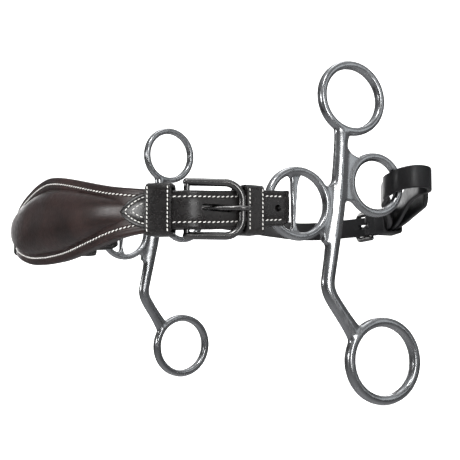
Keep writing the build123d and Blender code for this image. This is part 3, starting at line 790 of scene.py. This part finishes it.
def catmull(ctrl, step=1.0, passes=7):
    out = []
    n = len(ctrl)
    for i in range(n - 1):
        p0, p1, p2, p3 = ctrl[max(i - 1, 0)], ctrl[i], ctrl[i + 1], ctrl[min(i + 2, n - 1)]
        k = max(1, round(math.dist(p1[:2], p2[:2]) / step))
        for j in range(k):
            t = j / k
            out.append(tuple(0.5 * (2 * b + (c - a) * t + (2 * a - 5 * b + 4 * c - d) * t * t + (3 * b - a - 3 * c + d) * t ** 3) for a, b, c, d in zip(p0, p1, p2, p3)))
    out.append(ctrl[-1])
    for _ in range(passes):
        out = [out[0]] + [tuple((a + 2 * b + c) / 4 for a, b, c in zip(out[i - 1], out[i], out[i + 1])) for i in range(1, len(out) - 1)] + [out[-1]]
    res = []
    for i, p in enumerate(out):
        q0, q1 = out[max(i - 1, 0)], out[min(i + 1, len(out) - 1)]
        tx, ty = q1[0] - q0[0], q1[1] - q0[1]
        L = math.hypot(tx, ty)
        res.append((p[0], p[1], p[2], -ty / L, tx / L))
    return res


def arc_pts(degs, zs):
    return [(LOOP_C[0] + LOOP_R * math.cos(math.radians(a)), LOOP_C[1] + LOOP_R * math.sin(math.radians(a)), z) for a, z in zip(degs, zs)]


RING_DEG = [-75, -110, -150, 180, 150, 120, 90, 60, 35]
RING_Z = [14.8, 15.5, 16.3, 16.7, 16.3, 15.0, 13.0, 12.0, 11.2]
FOLD = CB_R + 0.25 + CURB_T / 2
fold = [(CB[0] + FOLD * math.cos(math.radians(a)), CB[1] + FOLD * math.sin(math.radians(a)), CB[2]) for a in (90, 60, 30, 0, -30, -60, -90)]
near_ctrl = [(-50.2, -102.0, 0.1), (-46.0, -102.0, -0.4), (-40.0, -101.5, -0.9)] + fold
near_ctrl += [(-46.0, -106.2, -0.4), (-56.0, -105.0, 1.0), (-66.0, -101.4, 4.0), (-80.0, -94.6, 9.0), (-94.0, -87.4, 13.2)]
near_ctrl += arc_pts(RING_DEG, RING_Z)
near_ctrl += [(-91.0, -70.0, 9.6), (-79.0, -82.6, 6.6), (-66.5, -94.6, 3.4), (-57.0, -100.6, 1.1), (-51.2, -101.8, 0.2)]
main_ctrl = [(-103.0, -91.0, 10.4), (-99.5, -92.9, 10.0), (-93.0, -96.0, 9.0), (-80.0, -101.0, 6.6), (-67.0, -105.4, 3.6), (-52.0, -108.9, 0.4), (-44.0, -109.5, -0.7), (-36.0, -109.4, -1.2), (-24.0, -108.7, -1.3), (-12.0, -107.2, -1.3),
             (4.0, -106.0, -1.3), (24.0, -104.6, -1.0), (44.0, -101.0, 0.2), (60.0, -95.0, 2.6), (75.0, -84.6, 5.6), (91.0, -70.0, 9.6)]
main_ctrl += [(-x, y, z) for x, y, z in reversed(arc_pts(RING_DEG, RING_Z))]
main_ctrl += [(96.0, -86.6, 12.6), (81.0, -93.8, 8.0), (66.0, -98.4, 4.0), (56.0, -101.2, 2.0), (48.0, -103.3, 0.8)]


def band(ctrl, tip=None, step=1.1, passes=7):
    rows = catmull(ctrl, step, passes)
    L = [0.0]
    for a, b in zip(rows, rows[1:]):
        L.append(L[-1] + math.dist(a[:3], b[:3]))
    rings = []
    for (x, y, z, nx, ny), l in zip(rows, L):
        h = CURB_H
        if tip:
            u = min(1.0, l / tip)
            h *= max(0.12, math.sqrt(max(0.0, 1 - (1 - u) ** 2)))
        prof = rrect(-CURB_T / 2, CURB_T / 2, z - h / 2, z + h / 2, 0.75, n=4, m=16)
        rings.append([Vector(((x + nx * a) * MM, (y + ny * a) * MM, b * MM)) for a, b in prof])
    return loft(rings)


near = fix_normals(new_obj("curb_loop_strap", *band(near_ctrl, step=0.55, passes=3), mat=CURB, sharp=50, slot="curb_leather"))
main = fix_normals(new_obj("curb_strap_leather", *band(main_ctrl, tip=6.0), mat=CURB, sharp=50, slot="curb_leather"))


def box_cutter(c, sx, sy, sz, rot=0.0):
    ca, sa = math.cos(rot), math.sin(rot)
    rr = []
    for z in (-sz / 2, sz / 2):
        ring = []
        for a, b in ((-sx / 2, -sy / 2), (sx / 2, -sy / 2), (sx / 2, sy / 2), (-sx / 2, sy / 2)):
            ring.append(Vector(((c[0] + a * ca - b * sa) * MM, (c[1] + a * sa + b * ca) * MM, (c[2] + z) * MM)))
        rr.append(ring)
    return loft(rr)


cut(near, box_cutter((CB[0] + 1.6, CB[1], CB[2]), 8.0, 9.0, 3.4), "cut_near")
cut(main, box_cutter((-25.0, -108.6, CB[2]), 12.0, 7.0, 2.8), "cut_main")
for o, n in ((near, "curb_near_loop"), (main, "curb_strap")):
    o.data.polygons.foreach_set("use_smooth", [True] * len(o.data.polygons))
    o.data.set_sharp_from_angle(angle=math.radians(50))
    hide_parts(n)
    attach(o, "curb")


def box_keeper(cx, y0, y1, zc, w, hz, wall, tilt):
    """Rounded loop round the curb strap, lying across X."""
    c0, c1, e0, e1 = y0 - wall / 2, y1 + wall / 2, -hz / 2 - wall / 2, hz / 2 + wall / 2
    pts = rrect(c0, c1, e0, e1, 2.0, n=6, m=10)
    clean = [pts[0]]
    for p in pts[1:]:
        if math.dist(p, clean[-1]) > 0.05:
            clean.append(p)
    if math.dist(clean[0], clean[-1]) < 0.05:
        clean.pop()
    n = len(clean)
    prof = rrect(-wall / 2, wall / 2, -w / 2, w / 2, 0.6, n=4, m=6)
    rings = []
    ct, stt = math.cos(tilt), math.sin(tilt)
    for i in range(n):
        a, b = clean[i - 1], clean[(i + 1) % n]
        tx, tz = b[0] - a[0], b[1] - a[1]
        L = math.hypot(tx, tz)
        ny_, nz_ = tz / L, -tx / L
        ring = []
        for t, sx in prof:
            yy, zz = clean[i][0] + ny_ * t, clean[i][1] + nz_ * t
            ring.append(Vector(((cx + sx * ct + zz * stt) * MM, yy * MM, (zc - sx * stt + zz * ct) * MM)))
        rings.append(ring)
    return loft(rings, cap=False, closed=True)


ck = fix_normals(new_obj("curb_keeper_band", *box_keeper(-51.0, -111.0, -99.6, 0.15, 9.0, 13.2, 1.5, math.radians(8)), mat=CURB, sharp=60, slot="curb_leather"))
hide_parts("curb_keeper")
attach(ck, "curb")

# ------------------------------------------------------------------ stage, light, camera
floor_z = cad_lo.z - 0.0004


def bowl():
    prof = [(0.0, 0.0), (0.35, 0.0), (0.8, 0.0), (1.3, 0.0)]
    for i in range(1, 13):
        a = math.radians(90 * i / 12)
        prof.append((1.3 + 0.9 * math.sin(a), 0.9 * (1 - math.cos(a))))
    prof.append((2.2, 3.2))
    verts, faces = [Vector((0, 0, floor_z))], []
    seg = 72
    for r, z in prof[1:]:
        for j in range(seg):
            a = 2 * math.pi * j / seg
            verts.append(Vector((r * math.cos(a), r * math.sin(a), floor_z + z)))
    for j in range(seg):
        faces.append((0, 1 + j, 1 + (j + 1) % seg))
    for i in range(len(prof) - 2):
        a, b = 1 + i * seg, 1 + (i + 1) * seg
        for j in range(seg):
            k = (j + 1) % seg
            faces.append((a + j, b + j, b + k, a + k))
    return verts, faces


bm_, bnt, bb = nodes_of("studio_white")
bb.inputs["Base Color"].default_value = (0.86, 0.86, 0.86, 1)
bb.inputs["Roughness"].default_value = 0.9
bb.inputs["Specular IOR Level"].default_value = 0.0
bb.inputs["Emission Color"].default_value = (1, 1, 1, 1)
bb.inputs["Emission Strength"].default_value = 0.62
stage = new_obj("studio_floor", *bowl(), mat=bm_, sharp=180)
stage.visible_glossy = False

world = bpy.data.worlds.new("studio")
bpy.context.scene.world = world
world.use_nodes = True
wn = world.node_tree
wn.nodes.clear()
wo = wn.nodes.new("ShaderNodeOutputWorld")
wb = wn.nodes.new("ShaderNodeBackground")
tc = wn.nodes.new("ShaderNodeTexCoord")
sp = wn.nodes.new("ShaderNodeSeparateXYZ")
wr = wn.nodes.new("ShaderNodeValToRGB")
wn.links.new(tc.outputs["Generated"], sp.inputs[0])
mr = wn.nodes.new("ShaderNodeMapRange")
mr.inputs["From Min"].default_value = -1.0
mr.inputs["From Max"].default_value = 1.0
wn.links.new(sp.outputs["Z"], mr.inputs["Value"])
wn.links.new(mr.outputs["Result"], wr.inputs["Fac"])
els = wr.color_ramp.elements
els[0].position, els[0].color = 0.0, (0.42, 0.42, 0.43, 1)
els[1].position, els[1].color = 1.0, (0.75, 0.76, 0.78, 1)
for p, c in ((0.40, 0.16), (0.49, 0.05), (0.56, 0.22), (0.66, 0.10), (0.82, 0.30)):
    e = els.new(p)
    e.color = (c, c, c * 1.03, 1)
wn.links.new(wr.outputs["Color"], wb.inputs["Color"])
wb.inputs["Strength"].default_value = 1.0
wn.links.new(wb.outputs[0], wo.inputs[0])

CAM = Vector((-0.5158, 0.2664, -0.0521))
DIR = Vector((0.8694, -0.4876, 0.0798)).normalized()


def area(name, loc, target, size, size_y, power, col=(1, 1, 1)):
    l = bpy.data.lights.new(name, "AREA")
    l.shape = "RECTANGLE"
    l.size, l.size_y = size, size_y
    l.energy = power
    l.color = col
    o = bpy.data.objects.new(name, l)
    bpy.context.scene.collection.objects.link(o)
    o.location = loc
    o.rotation_mode = "QUATERNION"
    o.rotation_quaternion = (Vector(target) - Vector(loc)).to_track_quat("-Z", "Y")
    return o


area("glare", (-1.25, 0.02, 0.16), (0, 0, 0), 0.18, 0.50, 2.6)
area("flank", (-1.05, -0.62, 0.28), (0, -0.02, 0), 0.26, 0.60, 0.42, (0.93, 0.97, 1.0))
area("nose_soft", (0.12, 1.25, 0.16), (0, 0.05, 0), 0.30, 0.22, 3.6)
area("key", (-0.75, 0.55, 0.95), (0, 0, 0), 0.35, 0.30, 4.2)
area("top", (0.05, -0.1, 1.25), (0, 0, 0), 0.6, 0.6, 2.6)
area("rim", (0.7, -0.8, 0.6), (0, 0, 0), 0.4, 0.6, 2.4)
area("back_card", (1.45, -0.30, 0.22), (0, 0, 0), 0.75, 0.55, 3.2)

cam_d = bpy.data.cameras.new("camera")
cam_d.sensor_width = 36.0
cam_d.lens = 75.31
cam_d.clip_start = 0.01
cam = bpy.data.objects.new("camera", cam_d)
bpy.context.scene.collection.objects.link(cam)
cam.location = CAM
cam.rotation_mode = "QUATERNION"
cam.rotation_quaternion = DIR.to_track_quat("-Z", "Y")
bpy.context.scene.camera = cam
bpy.context.scene.view_settings.view_transform = "Standard"
